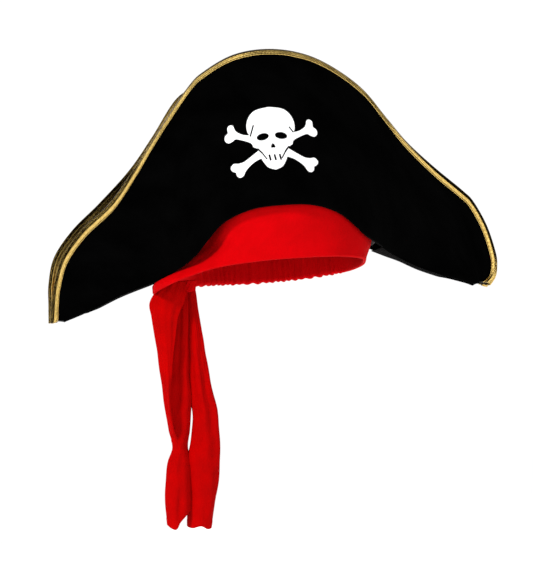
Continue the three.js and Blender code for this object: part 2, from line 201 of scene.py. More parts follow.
def cloth(name, middle, thickness, material, **facts):
    """A sheet of cloth about a grid of points, with rounded edges at its first and last rows."""
    half = np.broadcast_to(np.asarray(thickness, float) / 2, middle.shape[:2])[..., None]
    normals = grid_normals(middle)
    outer, inner = middle + normals * half, middle - normals * half
    low = middle[:, :1] + unit(middle[:, :1] - middle[:, 1:2]) * half[:, :1]
    high = middle[:, -1:] + unit(middle[:, -1:] - middle[:, -2:-1]) * half[:, -1:]
    rings = np.concatenate([outer, high, inner[:, ::-1], low], axis=1)
    uv = np.stack([run_lengths(middle, 0), run_lengths(middle, 1)], -1)
    uv = np.concatenate([uv, uv[:, -1:], uv[:, ::-1], uv[:, :1]], axis=1)
    rows, size = middle.shape[1], rings.shape[1]
    at = np.arange(rings.shape[0] * size).reshape(-1, size)
    faces = ring_quads(at)
    for ring, turn in ((at[0].tolist(), -1), (at[-1].tolist(), 1)):
        back = ring[rows + 1 : 2 * rows + 1][::-1]
        for j in range(rows - 1):
            faces.append([ring[j], ring[j + 1], back[j + 1], back[j]][::turn])
        faces.append([ring[0], back[0], ring[-1]][::turn])
        faces.append([ring[rows - 1], ring[rows], back[rows - 1]][::turn])
    return make_object(name, rings, faces, uv, material, **facts)


# ---- Materials ----
def node(tree, kind, inputs=(), **settings):
    made = tree.nodes.new(kind)
    for key, value in settings.items():
        setattr(made, key, value)
    for key, value in dict(inputs).items():
        if isinstance(value, bpy.types.NodeSocket):
            tree.links.new(value, made.inputs[key])
        else:
            made.inputs[key].default_value = value
    return made


def principled(name, **sockets):
    """A material with a Principled shader, its sockets set by name."""
    material = bpy.data.materials.new(name)
    material.use_nodes = True
    tree = material.node_tree
    shader = tree.nodes["Principled BSDF"]
    for key, value in sockets.items():
        shader.inputs[key.replace("_", " ")].default_value = value
    return material, tree, shader


def new_material(name, **sockets):
    """The same for a piece of the hat, with its cloth coordinates."""
    material, tree, shader = principled(name, **sockets)
    return material, tree, shader, node(tree, "ShaderNodeUVMap", uv_map="cloth").outputs["UV"]


def noise(tree, place, size, detail=3.0, roughness=0.55):
    inputs = {"Vector": place, "Scale": 1 / size, "Detail": detail, "Roughness": roughness}
    return node(tree, "ShaderNodeTexNoise", inputs).outputs["Fac"]


def stripes(tree, place, pitch, direction="X", distortion=0.0):
    scale = 2 * math.pi / (20 * pitch)
    inputs = {"Vector": place, "Scale": scale, "Distortion": distortion, "Detail": 1.0}
    return node(tree, "ShaderNodeTexWave", inputs, bands_direction=direction).outputs["Fac"]


def turned(tree, place, degrees):
    inputs = {"Vector": place, "Rotation": (0, 0, math.radians(degrees))}
    return node(tree, "ShaderNodeMapping", inputs).outputs[0]


def ramp(tree, factor, *stops):
    """A colour ramp; a stop is (position, colour), where a single number is a grey."""
    made = node(tree, "ShaderNodeValToRGB", {"Fac": factor})
    elements = made.color_ramp.elements
    while len(elements) < len(stops):
        elements.new(0.5)
    for element, (position, colour) in zip(elements, stops):
        element.position = position
        element.color = (*(colour if isinstance(colour, tuple) else (colour,) * 3), 1)
    return made.outputs["Color"]


def paint(tree, shader, socket, factor, *stops):
    tree.links.new(ramp(tree, factor, *stops), shader.inputs[socket])


def mix(tree, kind, a, b, factor=0.5):
    made = node(tree, "ShaderNodeMix", {0: factor, 6: a, 7: b}, data_type="RGBA", blend_type=kind)
    return made.outputs[2]


def bump(tree, shader, height, distance, strength=1.0, under=None):
    inputs = {"Height": height, "Distance": distance, "Strength": strength}
    if under:
        inputs["Normal"] = under
    made = node(tree, "ShaderNodeBump", inputs).outputs["Normal"]
    tree.links.new(made, shader.inputs["Normal"])
    return made


def make_velour():
    """Short black pile: it swallows the light, with a faint brushed mottling and a soft sheen."""
    material, tree, shader, place = new_material(
        "black_velour", Roughness=1.0, Specular_IOR_Level=0.02, Sheen_Weight=0.006, Sheen_Roughness=0.35
    )
    brushed = noise(tree, place, size=0.035, detail=4)
    paint(tree, shader, "Base Color", brushed, (0.35, 0.0001), (0.7, 0.0008))
    pile = noise(tree, place, size=0.0011, detail=2)
    under = bump(tree, shader, pile, distance=0.0003, strength=0.6)
    bump(tree, shader, brushed, distance=0.0008, strength=0.4, under=under)
    return material


def make_woven(name, dark, light, pitch, roughness, sheen):
    """A plain weave: crossed threads, uneven in colour."""
    material, tree, shader, place = new_material(name, Sheen_Weight=sheen, Specular_IOR_Level=0.25)
    warp, weft = (stripes(tree, place, pitch, direction) for direction in "XY")
    threads = mix(tree, "MULTIPLY", warp, weft, 0.8)
    uneven = noise(tree, place, size=0.02, detail=5)
    patches = ramp(tree, uneven, (0.3, dark), (0.7, light))
    weave = ramp(tree, threads, (0, dark), (1, light))
    tree.links.new(mix(tree, "MIX", patches, weave, 0.4), shader.inputs["Base Color"])
    paint(tree, shader, "Roughness", uneven, (0, roughness - 0.1), (1, roughness))
    under = bump(tree, shader, threads, distance=0.0002, strength=0.7)
    bump(tree, shader, uneven, distance=0.0006, strength=0.4, under=under)
    return material


def make_jersey(name, deep, bright):
    """Red jersey: fine vertical wales, a little uneven, with a soft sheen."""
    material, tree, shader, place = new_material(
        name, Sheen_Weight=0.03, Sheen_Roughness=0.4, Specular_IOR_Level=0.04
    )
    shader.inputs["Sheen Tint"].default_value = (1, 0.03, 0.03, 1)
    wales = stripes(tree, place, pitch=0.0011, direction="X", distortion=0.6)
    courses = stripes(tree, place, pitch=0.0009, direction="Y", distortion=1.2)
    knit = mix(tree, "MULTIPLY", wales, courses, 0.6)
    uneven = noise(tree, place, size=0.018, detail=6, roughness=0.6)
    body = ramp(tree, uneven, (0.25, deep), (0.75, bright))
    shaded = ramp(tree, knit, (0.0, 0.86), (0.6, 1.0))
    tree.links.new(mix(tree, "MULTIPLY", body, shaded, 1.0), shader.inputs["Base Color"])
    paint(tree, shader, "Roughness", uneven, (0, 0.75), (1, 0.92))
    under = bump(tree, shader, knit, distance=0.00018, strength=0.7)
    bump(tree, shader, uneven, distance=0.0007, strength=0.35, under=under)
    return material


def make_gold():
    """Metallic braid: slanted flat threads of gold film, with painted shade in the dark places between them.
    """
    material, tree, shader, place = new_material("gold_braid", Metallic=1.0)
    film = stripes(tree, turned(tree, place, 35), pitch=0.0011, distortion=1.5)
    worn = noise(tree, place, size=0.0022, detail=4, roughness=0.75)
    threads = mix(tree, "MIX", film, worn, 0.65)
    # The darkest colour is painted shade where the threads part; it is not a colour of the film.
    shade_between_threads, plain, bright = (0.09, 0.03, 0.002), (0.60, 0.33, 0.045), (1.0, 0.74, 0.24)
    paint(tree, shader, "Base Color", threads, (0.38, shade_between_threads), (0.47, plain), (0.57, bright))
    paint(tree, shader, "Roughness", worn, (0.2, 0.12), (0.8, 0.26))
    under = bump(tree, shader, film, distance=0.00005, strength=0.8)
    bump(tree, shader, worn, distance=0.00016, strength=0.7, under=under)
    return material


def make_print():
    """White heat-pressed film: smooth, with the pile just showing through."""
    material, tree, shader, place = new_material("white_film", Specular_IOR_Level=0.35)
    cloud = noise(tree, place, size=0.012, detail=4)
    paint(tree, shader, "Base Color", cloud, (0.3, (0.95, 0.95, 0.96)), (0.7, 1.0))
    paint(tree, shader, "Roughness", cloud, (0.3, 0.38), (0.7, 0.5))
    pile = noise(tree, place, size=0.0014, detail=2)
    bump(tree, shader, pile, distance=0.0001, strength=0.5)
    return material


def make_foam():
    material, tree, shader, place = new_material("black_foam", Roughness=0.95)
    cells = node(tree, "ShaderNodeTexVoronoi", {"Vector": place, "Scale": 700.0}).outputs["Distance"]
    paint(tree, shader, "Base Color", cells, (0.0, 0.004), (0.6, 0.02))
    bump(tree, shader, cells, distance=0.0004)
    return material


def make_elastic():
    material, tree, shader, place = new_material("ribbed_elastic", Roughness=0.75)
    ribs = stripes(tree, place, pitch=0.0013, direction="Y")
    paint(tree, shader, "Base Color", ribs, (0.1, 0.004), (0.9, 0.022))
    bump(tree, shader, ribs, distance=0.0004)
    return material


def make_thread():
    material, tree, shader, place = new_material("black_thread", Roughness=0.6)
    strands = stripes(tree, turned(tree, place, 40), pitch=0.0006)
    paint(tree, shader, "Base Color", strands, (0.1, 0.001), (0.8, 0.01))
    bump(tree, shader, strands, distance=0.0001)
    return material


VELOUR = make_velour()
LINING_CLOTH = make_woven(
    "black_lining", 0.0012, 0.006, pitch=0.0012, roughness=0.85, sheen=0.1
)
CROWN_FELT = make_woven(
    "black_crown_cloth", 0.0015, 0.007, pitch=0.0014, roughness=0.92, sheen=0.15
)
RED_BAND = make_jersey("red_jersey", (0.50, 0.0, 0.001), (0.61, 0.0, 0.0018))
# The tails' copy of the red jersey is darker than the band's. This is painted shade for the shade the hat
# casts on the tails.
RED_TAIL_SHADED = make_jersey("red_jersey_tail_painted_shade", (0.36, 0.0, 0.0), (0.48, 0.0, 0.0))
GOLD = make_gold()
FILM = make_print()
FOAM_CELLS = make_foam()
RIBBED = make_elastic()
BLACK_THREAD = make_thread()

# ---- The brim's middle surface, as the CAD part has it ----
LEFT_TOP = [
    [0, 193], [28, 189.5], [54, 178.5], [86, 154.5], [108, 126], [125.5, 103.5],
    [149.5, 81], [176.5, 58.5], [187, 47.5], [198, 25], [204, 0], [204, -12], [201.5, -21.5], [195.5, -28.8],
]
RIGHT_FRONT_TOP = [
    [0, 193], [-28, 189.5], [-53, 178], [-69, 165], [-102.5, 123.5], [-123.5, 96],
    [-146.5, 69], [-173.5, 48], [-192.5, 26], [-201.5, 3], [-205.5, -16], [-208, -32],
]
RIGHT_BACK_TOP = [
    [0, 193], [-28, 192.5], [-50, 188.5], [-73, 177], [-99.5, 140.5], [-124, 109],
    [-155, 77.5], [-181.5, 53], [-200, 28.5], [-206.8, 4.6], [-208.4, -15], [-209.5, -31],
]
LEFT_BOTTOM = [
    [0, 47], [28, 45.5], [52, 38], [68, 27], [79, 18.5], [95, 12], [106.5, 6.8],
    [117, 2.2], [135, -7.6], [162, -18.7], [184.5, -26],
]
RIGHT_BOTTOM = [
    [0, 47], [-28, 45.5], [-52, 37.5], [-67, 24.5], [-79, 12.5], [-95, 4],
    [-122, -3.4], [-145, -10.6], [-164, -18.4], [-182.5, -25.3], [-198.5, -30.3],
]
BACK_LIFT, LIFTS_FROM = 11.5 * MM, 35 * MM  # the back panel's lower edge rises where it leaves the head
# Depths are from the plane between the panels; FULLNESS is how far a panel bulges half way up.
HALF_SPAN, TOP_DEPTH, SEAM_DEPTH, FULLNESS = 206 * MM, 58 * MM, 4.2 * MM, 5 * MM
LEAVES_HEAD, MEETS_SEAM = 78 * MM, 122 * MM  # distances from the middle, along the lower edge's x
BRIM_X, BRIM_Y = 95.9 * MM, 93.9 * MM  # half widths of the oval that it follows round the head
TAPE_WIDTH = 8 * MM
RIPPLE = 0.9 * MM  # how far the brim's free edge waves
RIPPLES = [(1, 23, 1.3, 0), (0.7, 47, 2, 0)]  # over the share of the edge's length, and over the side
DIRECTION_STEP = 0.002  # share of a panel over which its directions are measured


def edge_curve(right, left):
    """(shares of its length, points) of a panel's edge, from the wearer's right tip to the left one."""
    curve = spline(right[:0:-1] + left, 80) * MM
    length = run_lengths(curve, 0)
    return length / length[-1], curve


TOP = {FRONT: edge_curve(RIGHT_FRONT_TOP, LEFT_TOP), BACK: edge_curve(RIGHT_BACK_TOP, LEFT_TOP)}
BOTTOM = edge_curve(RIGHT_BOTTOM, LEFT_BOTTOM)


def along_edge(edge, u):
    shares, curve = edge
    return np.interp(u, shares, curve[:, 0]), np.interp(u, shares, curve[:, 1])


def bottom_depth(x):
    """Round the crown, then in to the seam under the wing."""
    t = np.clip((x - LEAVES_HEAD) / (MEETS_SEAM - LEAVES_HEAD), 0, 1)
    round_head = BRIM_Y * np.sqrt(1 - (np.minimum(x, LEAVES_HEAD) / BRIM_X) ** 2)
    start = BRIM_Y * math.sqrt(1 - (LEAVES_HEAD / BRIM_X) ** 2)
    slope = -((BRIM_Y / BRIM_X) ** 2) * LEAVES_HEAD / start * (MEETS_SEAM - LEAVES_HEAD)
    blend = smoothstep(t)
    to_seam = start * (1 - blend) + SEAM_DEPTH * blend + slope * t * (1 - t) ** 2
    return np.where(x < LEAVES_HEAD, round_head, to_seam)


def top_depth(x):
    return SEAM_DEPTH + (TOP_DEPTH - SEAM_DEPTH) * np.maximum(0, 1 - (x / HALF_SPAN) ** 2) ** 1.2


def lower_edge(side, u):
    x, z = along_edge(BOTTOM, u)
    near_head = (bottom_depth(abs(x)) - SEAM_DEPTH) / (bottom_depth(LEAVES_HEAD) - SEAM_DEPTH)
    begun = smoothstep((abs(x) - LIFTS_FROM) / (LEAVES_HEAD - LIFTS_FROM))
    return x, z + BACK_LIFT * begun * np.minimum(1, near_head) * (side == BACK)


def brim_point(side, u, v):
    u = np.clip(u, 0, 1)
    (top_x, top_z), (low_x, low_z) = along_edge(TOP[side], u), lower_edge(side, u)
    x, z = low_x + (top_x - low_x) * v, low_z + (top_z - low_z) * v
    middle = np.maximum(0, 1 - (x / HALF_SPAN) ** 2)
    depth = bottom_depth(abs(low_x)) * (1 - v) + top_depth(abs(top_x)) * v
    depth = depth + FULLNESS * np.sin(np.pi * v) * middle
    return np.stack([x, side * (depth + RIPPLE * v * v * middle * waves(u, side, *RIPPLES)), z], -1)


def brim_frame(side, u, v):
    """(points, directions out of the surface, directions towards the upper edge)."""
    step = DIRECTION_STEP
    along = unit(brim_point(side, u + step, v) - brim_point(side, u - step, v))
    across = unit(brim_point(side, u, v + step) - brim_point(side, u, v - step))
    out = unit(np.cross(along, across))
    out = out * np.sign(out[..., 1:2] * side)
    return brim_point(side, u, v), out, unit(across - along * (across * along).sum(-1, keepdims=True))


def panel_height(side, u):
    return np.hypot(*(a - b for a, b in zip(along_edge(TOP[side], u), lower_edge(side, u))))


def tape_start(side, u):
    return 1 - np.minimum(0.7, TAPE_WIDTH / panel_height(side, u))


def held_edge(side, u):
    """v at the upper edge of the panel's layers, inside the folded tape."""
    return 1 - (1 - TAPE_HOLDS) * (1 - tape_start(side, u))


# ---- Brim panels ----
FACE_THICKNESS, FACE_OFFSET = 0.8 * MM, 2.0 * MM
HEM_RETURN = 9 * MM  # of the velour turned up behind the panel's lower edge
HEM_DROP = 0.4 * MM  # of the velour's fold below the edge
FACE_STARTS = 0.004  # share of the panel's height at which the velour has come round the hem
FOAM_OFFSET, FOAM_THICKNESS, FOAM_ABOVE_HEM = -0.1 * MM, 2.4 * MM, 0.4 * MM
LINING_OFFSET, LINING_THICKNESS, LINING_ABOVE_HEM = -2.0 * MM, 0.8 * MM, HEM_RETURN + 1 * MM
PANEL_ENDS = 0.003  # share of the edge's length by which the tape outruns the panel at each tip
TAPE_HOLDS = 0.62  # share of the tape's width at which the panel's layers end inside it


def brim_layer(name, side, offset, thickness, low, columns, rows, material, **facts):
    """A flat layer of a panel, from low metres above its lower edge to its upper edge."""
    u = np.linspace(PANEL_ENDS, 1 - PANEL_ENDS, columns)[:, None]
    start = np.minimum(0.5, low / panel_height(side, u))
    end = held_edge(side, u)
    v = start + (end - start) * np.linspace(0, 1, rows)[None, :]
    origin, out, _ = brim_frame(side, np.broadcast_to(u, v.shape), v)
    return cloth(name, origin + out * offset, thickness, material, **facts)


def brim_face(word, side):
    """The velour, turned round the panel's lower edge."""
    u = np.linspace(PANEL_ENDS, 1 - PANEL_ENDS, 281)[:, None]
    behind = np.minimum(0.45, HEM_RETURN / panel_height(side, u)) * np.linspace(1, 0.04, 6)[None, :]
    outside = FACE_STARTS + (held_edge(side, u) - FACE_STARTS) * np.linspace(0, 1, 70)[None, :]
    angles = np.linspace(-np.pi / 2, np.pi / 2, 9)[None, :]
    hem = 0 * u * angles
    v = np.concatenate([behind, hem, outside], axis=1)
    offsets = [0 * behind - FACE_OFFSET, hem + FACE_OFFSET * np.sin(angles), 0 * outside + FACE_OFFSET]
    drops = [0 * behind, hem + HEM_DROP * np.cos(angles), 0 * outside]
    offset, drop = (np.concatenate(parts, axis=1)[..., None] for parts in (offsets, drops))
    origin, out, edge = brim_frame(side, np.broadcast_to(u, v.shape), v)
    middle = origin + out * offset - edge * drop
    facts = {"replaces": [f"{word}_brim_face"], "slot": "brim_velour"}
    return cloth(f"{word}_velour", middle, FACE_THICKNESS, VELOUR, **facts)


# ---- Gold tape ----
TAPE_BEGINS = 0.28  # share of the CAD tape's width where the cloth one begins
TAPE_LIES = 2.5 * MM  # its inner side, from the panel's middle surface
TAPE_BEYOND = 1.75 * MM  # its fold, past the panel's upper edge
# Its outer side, from its sewn edge over the ridge to the fold: share of the width, and height in
# millimetres from the panel's middle surface. The sewn edge is turned under, which makes a small bead.
TAPE_OUTSIDE = [
    (0.0, 2.62), (0.0, 3.05), (0.02, 3.4), (0.05, 3.62), (0.09, 3.66), (0.13, 3.4), (0.16, 3.12), (0.2, 3.08),
    (0.26, 3.3), (0.34, 3.42), (0.42, 3.46), (0.47, 3.6), (0.51, 3.68), (0.55, 3.55), (0.6, 3.2), (0.68, 2.7),
    (0.76, 2.2), (0.84, 1.72), (0.92, 1.25), (0.97, 0.85), (0.993, 0.45), (1.0, 0.0),
]
TAPE_INSIDE = [(0.0, 2.5), (0.3, 2.5), (0.52, 2.5), (0.66, 1.7), (0.85, 0.6), (0.9, 0.0)]
BRAID_PITCH, BRAID_HEIGHT = 2.4 * MM, 0.10 * MM
BRAID_SLANT = 2.2  # threads crossed from one edge of the tape to the other
CURL, CURL_AT, CURL_WIDTH = 0.112 * MM, 0.3, 0.3  # the curl's height, and where it is, as shares of the width
CURL_LENGTH, CURL_DRIFT, SLOW_CURL = 4.1 * MM, 31 * MM, 9.7 * MM  # its waves along the tape, over 2 pi


def tape_profile():
    """The tape's cross-section as shares of its CAD width and heights, once round."""
    reach = 1 + TAPE_BEYOND / TAPE_WIDTH - TAPE_BEGINS
    half = np.array(TAPE_INSIDE[::-1] + TAPE_OUTSIDE) * [reach, MM] + [TAPE_BEGINS, 0]
    return np.vstack([half, half[1:-1][::-1] * [1, -1]])


def edge_tape(word, side):
    profile = tape_profile()
    u = np.linspace(0, 1, 900)[:, None]
    share, height = profile[:, 0][None, :], profile[:, 1][None, :]
    v = tape_start(side, u) + (1 - tape_start(side, u)) * np.minimum(share, 1)
    beyond = np.maximum(share - 1, 0) * TAPE_WIDTH + 0 * v
    origin, out, edge = brim_frame(side, np.broadcast_to(u, v.shape), v)
    length = run_lengths(brim_point(side, u[:, 0], 1 + 0 * u[:, 0]), 0)[:, None]
    is_outer = np.abs(height) > TAPE_LIES + 0.3 * MM
    braid = BRAID_HEIGHT * np.abs(np.sin(np.pi * (length / BRAID_PITCH - share * BRAID_SLANT)))
    curl = np.sin(length / CURL_LENGTH + 1.7 * np.sin(length / CURL_DRIFT))
    curl = CURL * (curl + np.sin(length / SLOW_CURL + side))
    curl = curl * np.exp(-(((share - CURL_AT) / CURL_WIDTH) ** 2))
    height = height + np.sign(height) * is_outer * (braid + curl)
    rings = origin + out * height[..., None] + edge * beyond[..., None]
    around = np.concatenate([[0], np.cumsum(np.hypot(*np.diff(profile * [TAPE_WIDTH, 1], axis=0).T))])
    uv = joined(length, around[None, :])
    loft(f"{word}_gold_tape", rings, uv, GOLD, replaces=[f"{word}_edge_tape"], slot="gold_tape")


def build_brim():
    """Both panels; returns the velour of each."""
    velour = {}
    for word, side in (("front", FRONT), ("back", BACK)):
        velour[side] = brim_face(word, side)
        foam = brim_layer(
            f"{word}_padding", side, FOAM_OFFSET, FOAM_THICKNESS, FOAM_ABOVE_HEM, 121, 25, FOAM_CELLS,
            replaces=[f"{word}_brim_foam"], slot="brim_foam",
        )
        brim_layer(
            f"{word}_backing", side, LINING_OFFSET, LINING_THICKNESS, LINING_ABOVE_HEM, 201, 41,
            LINING_CLOTH, replaces=[f"{word}_brim_lining"], slot="brim_lining",
        )
        edge_tape(word, side)
    return velour


# ---- Gussets and tacks ----
GUSSET_START, GUSSET_END = {-1: 0.745, 1: 0.77}, 0.965
GUSSET_TAPER = 0.05  # of the lower edge's length, over which it narrows and turns up between the panels
GUSSET_OVERLAP, GUSSET_TIP = 2.8 * MM, 1.2 * MM  # past each panel's middle surface; its half width at the tip
GUSSET_BELOW, GUSSET_TURNS_UP = 1.45 * MM, 2.2 * MM  # from the panels' lower edges
GUSSET_SAG, GUSSET_THICKNESS = 0.4 * MM, 0.9 * MM
TACK_TURNS, TACK_RADIUS, THREAD_RADIUS = 6, 0.75 * MM, 0.42 * MM


def wing_gusset(word, hand):
    """The strip over the seam under a wing, which widens to close the gap beside the crown."""
    reach = np.linspace(GUSSET_START[hand], GUSSET_END, 90)
    u = reach if hand > 0 else 1 - reach
    (x, front_z), (_, back_z) = lower_edge(FRONT, u), lower_edge(BACK, u)
    down = unit(np.stack([np.gradient(front_z), 0 * x, -np.gradient(x)], -1)) * hand
    near_end = (reach - GUSSET_END + GUSSET_TAPER) / GUSSET_TAPER
    narrowed = smoothstep(near_end * 2)
    half_width = (bottom_depth(abs(x)) + GUSSET_OVERLAP) * (1 - narrowed) + GUSSET_TIP * narrowed
    below = GUSSET_BELOW - GUSSET_TURNS_UP * smoothstep(near_end * 2 - 1)
    across = np.linspace(-1, 1, 41)[None, :]
    sag = GUSSET_SAG * (1 - across**2) * (1 + 0.6 * np.sin(9 * across))
    sag = sag * smoothstep(half_width / (40 * MM))[:, None]
    height = (front_z + back_z)[:, None] / 2 + (back_z - front_z)[:, None] / 2 * across
    middle = joined(x[:, None], half_width[:, None] * across, height)
    middle = middle + down[:, None] * (below[:, None] + sag)[..., None]
    facts = {"replaces": [f"{word}_wing_gusset"], "slot": "brim_velour"}
    cloth(f"{word}_seam_strip", middle, GUSSET_THICKNESS, VELOUR, **facts)


def tip_tack(word):
    """Turns of thread that tie the panels together near a tip."""
    low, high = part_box(f"{word}_tip_tack")
    middle, half = (low + high) / 2, (high.y - low.y) / 2
    t = np.linspace(0, 1, TACK_TURNS * 20 + 1)
    angle = 2 * np.pi * TACK_TURNS * t
    core = np.stack([0 * t + middle.x, middle.y + half * (2 * t - 1), 0 * t + middle.z], -1)
    out = np.stack([np.cos(angle), 0 * t, np.sin(angle)], -1)
    path = core + TACK_RADIUS * out
    side = np.cross(unit(np.gradient(path, axis=0)), out)
    section = np.linspace(0, 2 * np.pi, 8, endpoint=False)
    ring = out[:, None] * np.cos(section)[:, None] + side[:, None] * np.sin(section)[:, None]
    rings = path[:, None] + ring * THREAD_RADIUS
    uv = joined(run_lengths(path, 0)[:, None], section * THREAD_RADIUS)
    loft(f"{word}_thread_tack", rings, uv, BLACK_THREAD, replaces=[f"{word}_tip_tack"], slot="thread")


# ---- The print ----
PRINT_X, PRINT_Z = -3 * MM, 107 * MM
PRINT_TOP = [0, 29.9]
HALF_OUTLINE = [
    [[10.6, 28], [16.3, 24.4], [20, 18.5], [21.3, 12.4], [20.8, 7.2], [19.4, 4.7]],
    [[24.5, 5.6], [29.6, 8.6], [31.6, 11.4], [32.6, 15], [35, 16.1], [37.6, 14], [37.7, 8.9]],
    [
        [40.6, 6], [40.8, 2], [38.2, -0.3], [34.9, 0.6], [32, 2.4], [28.5, 1.7], [21, -1.5], [18.3, -3.6],
        [17.4, -6.5],
    ],
    [[12.6, -9]],
    [[13.4, -10.3]],
    [[19.4, -14.5], [26.4, -19], [31.4, -20.2], [35.6, -19.9], [38.5, -23.2], [37.4, -26.4], [34.4, -28]],
    [[33.8, -31.2], [31.4, -33], [28.3, -31.7], [25.7, -27.3], [21.7, -23.3], [16.7, -19.8], [11.6, -17.6]],
    [[9.2, -22.4], [6, -26.5], [0, -28.9]],
]
NOSE = [
    [0, -4.3], [1.3, -5.6], [2.1, -7.6], [1.6, -8.8], [0, -8.5], [-1.6, -8.8], [-2.1, -7.6], [-1.3, -5.6],
]
TOOTH_LINES = [[[x, -15.4], [x + 0.6, -19.6]] for x in (-4.2, 0.4, 5)]
TEMPLE_LINES = [[[-18.8, 3.9], [-15.2, 13.4]], [[19.2, 5], [16.4, 9.6]]]
CHEEK_BEND = [10.2, -12.8]
PRINT_RAY_FROM = -0.3  # y in front of the whole hat
FILM_OUTSIDE, FILM_INSIDE = 0.32 * MM, 0.04 * MM  # of the velour's surface


def print_outline():
    """The print's outer edge: each run is a smooth curve from the last point of the one before."""
    starts = [PRINT_TOP] + [run[-1] for run in HALF_OUTLINE]
    runs = [[start] + run for start, run in zip(starts, HALF_OUTLINE)]
    loop = []
    for run in runs:
        loop += spline(run, 5)[:-1].tolist()
    for run in runs[::-1]:
        loop += spline([[-x, y] for x, y in run[::-1]], 5)[:-1].tolist()
    return loop


def oval(x, y, rx, ry, turn):
    angles = np.linspace(0, 2 * np.pi, 28, endpoint=False)
    a, b = rx * np.cos(angles), ry * np.sin(angles)
    across = x + a * math.cos(turn) - b * math.sin(turn)
    return np.stack([across, y + a * math.sin(turn) + b * math.cos(turn)], -1).tolist()


def round_line(start, end, width):
    start, end = np.array(start, float), np.array(end, float)
    heading = math.atan2(*(end - start)[::-1])
    loop = []
    for middle, first in ((start, heading + math.pi / 2), (end, heading - math.pi / 2)):
        for angle in np.linspace(first, first + math.pi, 7):
            loop.append((middle + width / 2 * np.array([math.cos(angle), math.sin(angle)])).tolist())
    return loop


def inside(loop, points):
    """Which of the points a closed loop goes round."""
    loop = np.array(loop)
    x, y = points[:, 0], points[:, 1]
    hit = np.zeros(len(points), bool)
    for (x0, y0), (x1, y1) in zip(loop, np.roll(loop, -1, axis=0)):
        crosses = (y0 > y) != (y1 > y)
        hit ^= crosses & (x < (x1 - x0) * (y - y0) / (y1 - y0 + 1e-12) + x0)
    return hit


def skull_print():
    """(points in millimetres, faces) of the flat emblem, with its holes left open."""
    holes = [NOSE] + [round_line(start, end, 1.7) for start, end in TOOTH_LINES]
    holes += [round_line(start, end, 1.3) for start, end in TEMPLE_LINES]
    for hand in (-1, 1):
        mirror = np.array([hand, 1])
        holes.append(oval(hand * 8.1, 2.2, 5.5, 3.3, hand * -0.2))
        holes.append(round_line(mirror * [13.6, -8.6], mirror * CHEEK_BEND, 1.5))
        holes.append(round_line(mirror * CHEEK_BEND, mirror * [6.8, -18.4], 1.2))
    loops = [print_outline()] + holes
    points, edges = [], []
    for loop in loops:
        first, size = len(points), len(loop)
        points += loop
        edges += [(first + k, first + (k + 1) % size) for k in range(size)]
    fill = np.array([(x, y) for x in np.arange(-40, 41, 2.0) for y in np.arange(-34, 31, 2.0)])
    points += fill[inside(loops[0], fill)].tolist()
    made = delaunay_2d_cdt([Vector(p) for p in points], edges, [], 0, 1e-4)
    flat, faces = np.array([tuple(p) for p in made[0]]), [tuple(f) for f in made[2]]
    middles = np.array([flat[list(f)].mean(axis=0) for f in faces])
    keep = inside(loops[0], middles)
    for hole in holes:
        keep &= ~inside(hole, middles)
    faces = [f for f, kept in zip(faces, keep) if kept]
    used = sorted({v for f in faces for v in f})
    number = {v: i for i, v in enumerate(used)}
    return flat[used], [[number[v] for v in f] for f in faces]


def lay_print(velour):
    """The print as a thin film on the front panel's velour."""
    flat, faces = skull_print()
    face = velour.data
    surface = BVHTree.FromPolygons([v.co for v in face.vertices], [p.vertices for p in face.polygons])

    def on_velour(x, z):
        return surface.ray_cast(Vector((x, PRINT_RAY_FROM, z)), Vector((0, 1, 0)))[0]

    places, normals = [], []
    for x, z in flat * MM + [PRINT_X, PRINT_Z]:
        right, left = on_velour(x + MM, z), on_velour(x - MM, z)
        above, below = on_velour(x, z + MM), on_velour(x, z - MM)
        normals.append((above - below).cross(right - left).normalized())
        places.append(on_velour(x, z))
    places, normals = np.array(places), np.array(normals)
    normals *= -np.sign(normals[:, 1:2])
    count = len(flat)
    points = np.vstack([places + normals * FILM_OUTSIDE, places + normals * FILM_INSIDE])
    edges = dict.fromkeys((a, b) for f in faces for a, b in zip(f, f[1:] + f[:1]))
    rim = [(a, b) for a, b in edges if (b, a) not in edges]
    all_faces = faces + [[v + count for v in f[::-1]] for f in faces]
    all_faces += [[b, a, a + count, b + count] for a, b in rim]
    uv = np.vstack([flat, flat]) * MM
    make_object("skull_film", points, all_faces, uv, FILM, replaces=["skull_print"], slot="white_print")


# ---- Crown and bandana, rings round the head ----
HEAD_X, HEAD_Y = 93 * MM, 91 * MM
CROWN_TOP_X, CROWN_TOP_Y = 80 * MM, 72 * MM
CROWN_HEIGHT, CROWN_TAPERS_ABOVE = 105 * MM, 40 * MM
CROWN_EDGE, CROWN_EDGE_RISE = 18 * MM, 37 * MM  # the wall's lower edge is higher in front and behind
CROWN_THICKNESS = 1.1 * MM
CROWN_BUCKLES = [(1, 7, 40, 1.2), (0.8, 13, -90, 0), (0.5, 23, 150, 0)]  # round the head, and up it
TOP_BUCKLES = [(1, 3, 0, 0.7), (0.6, 5, 9, 0)]  # round the top, and out from its middle
# The top's profile from its seam to its middle: share of the radius, and rise in millimetres.
TOP_PROFILE = [
    (1.0, 0.0), (0.985, 1.6), (0.9, 5.2), (0.763, 8.6), (0.62, 11.0), (0.5, 11.9), (0.25, 12.2), (0.02, 12.3),
]
TOP_LIFT = 0.7 * MM  # of the top's cloth over the wall's
FLARE, FLARE_DROP, FLARE_TOP, FLARE_ANGLE = 24 * MM, 12 * MM, 9 * MM, 0.5
FLARE_FULL = -6 * MM  # the height at which it stands out fully


def crown_edge(angle):
    return CROWN_EDGE + CROWN_EDGE_RISE * np.sin(angle) ** 2


def flare_share(angle):
    return np.exp(-(((angle - np.pi) / FLARE_ANGLE) ** 2))


def hem_height(angle):
    return -FLARE_DROP * flare_share(angle)


